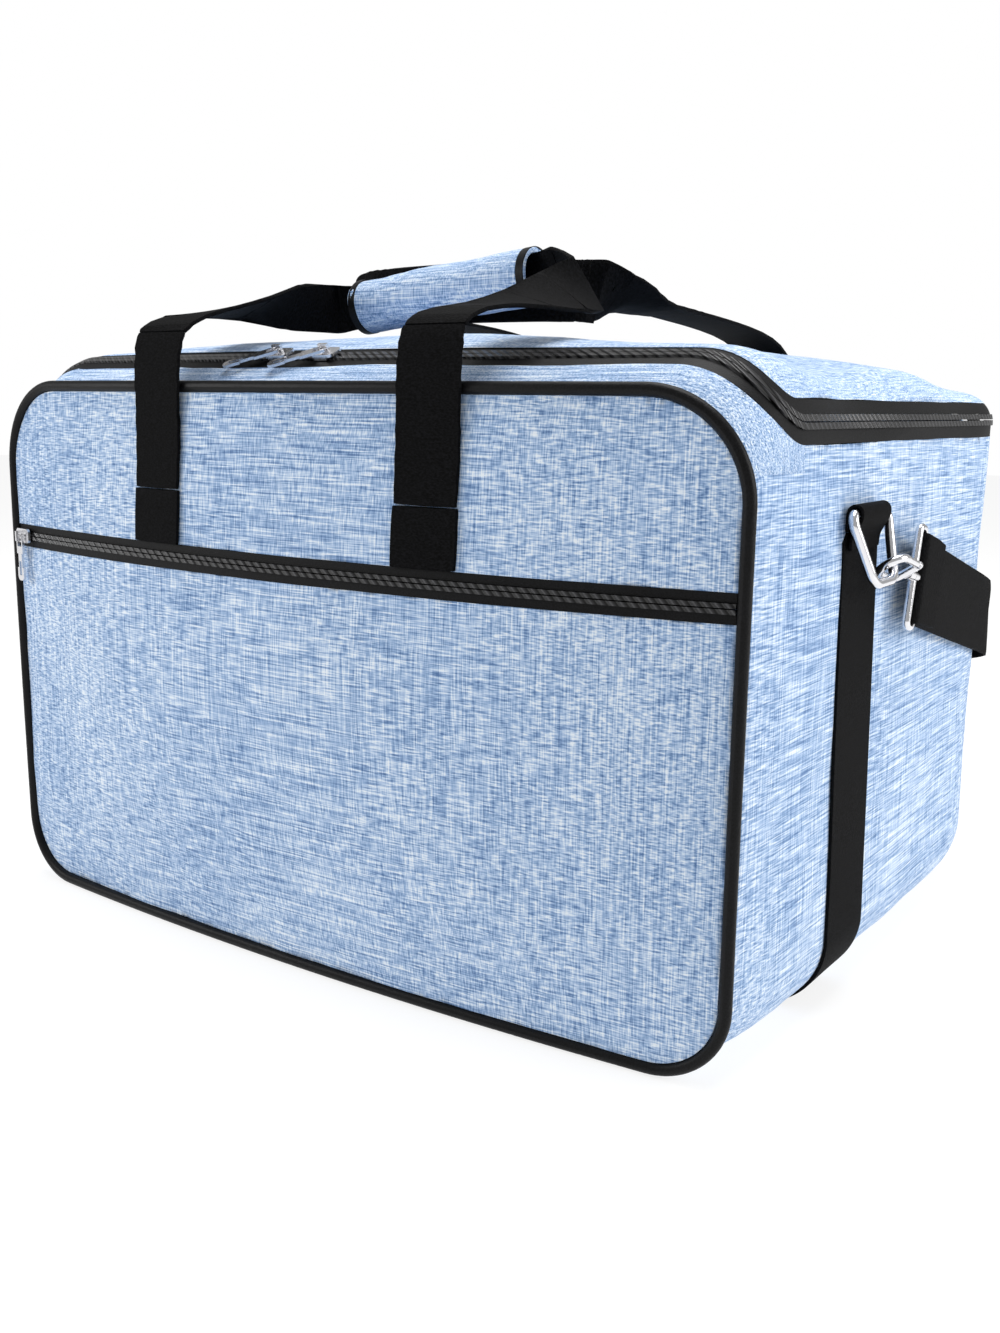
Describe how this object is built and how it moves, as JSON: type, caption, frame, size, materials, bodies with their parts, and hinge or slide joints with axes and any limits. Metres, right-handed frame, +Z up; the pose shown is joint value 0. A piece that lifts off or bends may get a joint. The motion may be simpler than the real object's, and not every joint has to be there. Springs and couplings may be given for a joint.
{
  "type": "board game bag",
  "caption": "Soft box bag with a zipped lid that folds back, a zipped front pocket, a wrapped front handle, a rear handle over the lid, side rings with snap hooks and a shoulder strap.",
  "frame": {"origin": "on the ground under the middle of the bag's width and near the middle of its depth", "axes": "+X to the bag's right as seen from its front, +Y from its front to its back, +Z up"},
  "size_m": [0.5642, 0.4303, 0.4079],
  "materials": {
    "blue_cloth": "heathered weave",
    "lining": "smooth weave",
    "foam": "soft",
    "board": "matt",
    "piping": "satin",
    "zipper_tape": "woven",
    "zipper_coil": "satin",
    "webbing": "ribbed weave",
    "wrap_cloth": "heathered weave",
    "bright_metal": "polished",
    "slider_metal": "satin"
  },
  "bodies": {
    "bag": {"left_side_panel": "blue_cloth", "right_side_panel": "blue_cloth", "bottom_panel": "blue_cloth", "front_top_strip": "blue_cloth", "front_piping": "piping", "pocket_wall": "blue_cloth", "front_foam": "foam", "front_upper_panel": "blue_cloth", "pocket_panel": "blue_cloth", "pocket_upper_tape": "zipper_tape", "pocket_lower_tape": "zipper_tape", "pocket_coil": "zipper_coil", "back_panel": "blue_cloth", "back_piping": "piping", "body_lining": "lining", "bottom_board": "board", "body_zipper_tape": "zipper_tape", "body_zipper_coil": "zipper_coil", "front_handle_bases": "webbing", "back_handle_bases": "webbing", "side_webbing": "webbing", "left_ring_loop": "webbing", "right_ring_loop": "webbing", "left_strap_frame": "bright_metal", "right_strap_frame": "bright_metal", "shoulder_strap": "webbing", "strap_adjuster": "bright_metal"},
    "lid": {"lid_panel": "blue_cloth", "lid_lining": "lining", "lid_zipper_tape": "zipper_tape", "lid_zipper_coil": "zipper_coil"},
    "front_legs": {"front_handle_legs": "webbing"},
    "front_loop": {"front_handle_loop": "webbing", "grip_wrap": "wrap_cloth", "grip_bindings": "webbing"},
    "back_handle": {"back_handle_loop": "webbing"},
    "pocket_runner": {"pocket_slider": "slider_metal"},
    "pocket_tag": {"pocket_pull": "slider_metal"},
    "left_runner": {"left_slider": "slider_metal"},
    "left_tag": {"left_pull": "slider_metal"},
    "right_runner": {"right_slider": "slider_metal"},
    "right_tag": {"right_pull": "slider_metal"},
    "right_d_ring": {"right_ring": "bright_metal"},
    "right_snap_hook": {"right_hook": "bright_metal"},
    "right_gate": {"right_hook_gate": "bright_metal"},
    "left_d_ring": {"left_ring": "bright_metal"},
    "left_snap_hook": {"left_hook": "bright_metal"},
    "left_gate": {"left_hook_gate": "bright_metal"}
  },
  "joints": [
    {"name": "lid_hinge", "type": "hinge", "parent": "bag", "child": "lid", "pos_m": [0, 0.192, 0.3285], "axis": [-1, 0, 0], "range_deg": [0, 90]},
    {"name": "front_handle_swing", "type": "hinge", "parent": "bag", "child": "front_legs", "pos_m": [0, -0.20978, 0.27], "axis": [1, 0, 0], "range_deg": [0, 180]},
    {"name": "front_handle_fold", "type": "hinge", "parent": "front_legs", "child": "front_loop", "pos_m": [0, -0.2016, 0.3584], "axis": [1, 0, 0], "range_deg": [0, 65]},
    {"name": "back_handle_swing", "type": "hinge", "parent": "bag", "child": "back_handle", "pos_m": [0, 0.20928, 0.27], "axis": [-1, 0, 0], "range_deg": [0, 144]},
    {"name": "left_slider_slide", "type": "slide", "parent": "lid", "child": "left_runner", "axis": [1, 0, 0], "range_m": [-0.083, 0]},
    {"name": "left_pull_hinge", "type": "hinge", "parent": "left_runner", "child": "left_tag", "pos_m": [-0.047, -0.15772, 0.34802], "axis": [-0.4695, 0.7937, 0.3869], "range_deg": [0, 100]},
    {"name": "right_slider_slide", "type": "slide", "parent": "lid", "child": "right_runner", "axis": [1, 0, 0], "range_m": [0, 0.19]},
    {"name": "right_pull_hinge", "type": "hinge", "parent": "right_runner", "child": "right_tag", "pos_m": [-0.012, -0.15772, 0.34802], "axis": [-0.4695, 0.7937, 0.3869], "range_deg": [0, 100]},
    {"name": "pocket_slider_run", "type": "hinge", "parent": "bag", "child": "pocket_runner", "pos_m": [0, 1.04382, 0.232], "axis": [0, 0, 1], "range_deg": [0, 22.3]},
    {"name": "pocket_pull_hinge", "type": "hinge", "parent": "pocket_runner", "child": "pocket_tag", "pos_m": [-0.24448, -0.19263, 0.232], "axis": [-0.981, 0.194, 0], "range_deg": [0, 90]},
    {"name": "right_ring_hinge", "type": "hinge", "parent": "bag", "child": "right_d_ring", "pos_m": [0.26521, -0.055, 0.268], "axis": [0, 1, 0], "range_deg": [-1.5, 1.5]},
    {"name": "right_hook_swivel", "type": "hinge", "parent": "bag", "child": "right_snap_hook", "pos_m": [0.2735, -0.0055, 0.231], "axis": [0, -0.9703, 0.2419], "range_deg": [-4, 4]},
    {"name": "right_gate_hinge", "type": "hinge", "parent": "right_snap_hook", "child": "right_gate", "pos_m": [0.27989, -0.018, 0.23873], "axis": [0.5736, -0.1982, -0.7948], "range_deg": [0, 20], "stiffness_Nm_per_rad": 0.01},
    {"name": "left_ring_hinge", "type": "hinge", "parent": "bag", "child": "left_d_ring", "pos_m": [-0.26521, -0.055, 0.268], "axis": [0, 1, 0], "range_deg": [-1.5, 1.5]},
    {"name": "left_hook_swivel", "type": "hinge", "parent": "bag", "child": "left_snap_hook", "pos_m": [-0.2735, -0.0055, 0.231], "axis": [0, 0.9703, -0.2419], "range_deg": [-4, 4]},
    {"name": "left_gate_hinge", "type": "hinge", "parent": "left_snap_hook", "child": "left_gate", "pos_m": [-0.27989, -0.018, 0.23873], "axis": [0.5736, 0.1982, 0.7948], "range_deg": [0, 20], "stiffness_Nm_per_rad": 0.01}
  ],
  "couplings": [
    {"joint": "front_handle_swing", "follows": "lid_hinge", "ratio": 2},
    {"joint": "front_handle_fold", "follows": "lid_hinge", "ratio": 0.72},
    {"joint": "back_handle_swing", "follows": "lid_hinge", "ratio": 1.6}
  ]
}
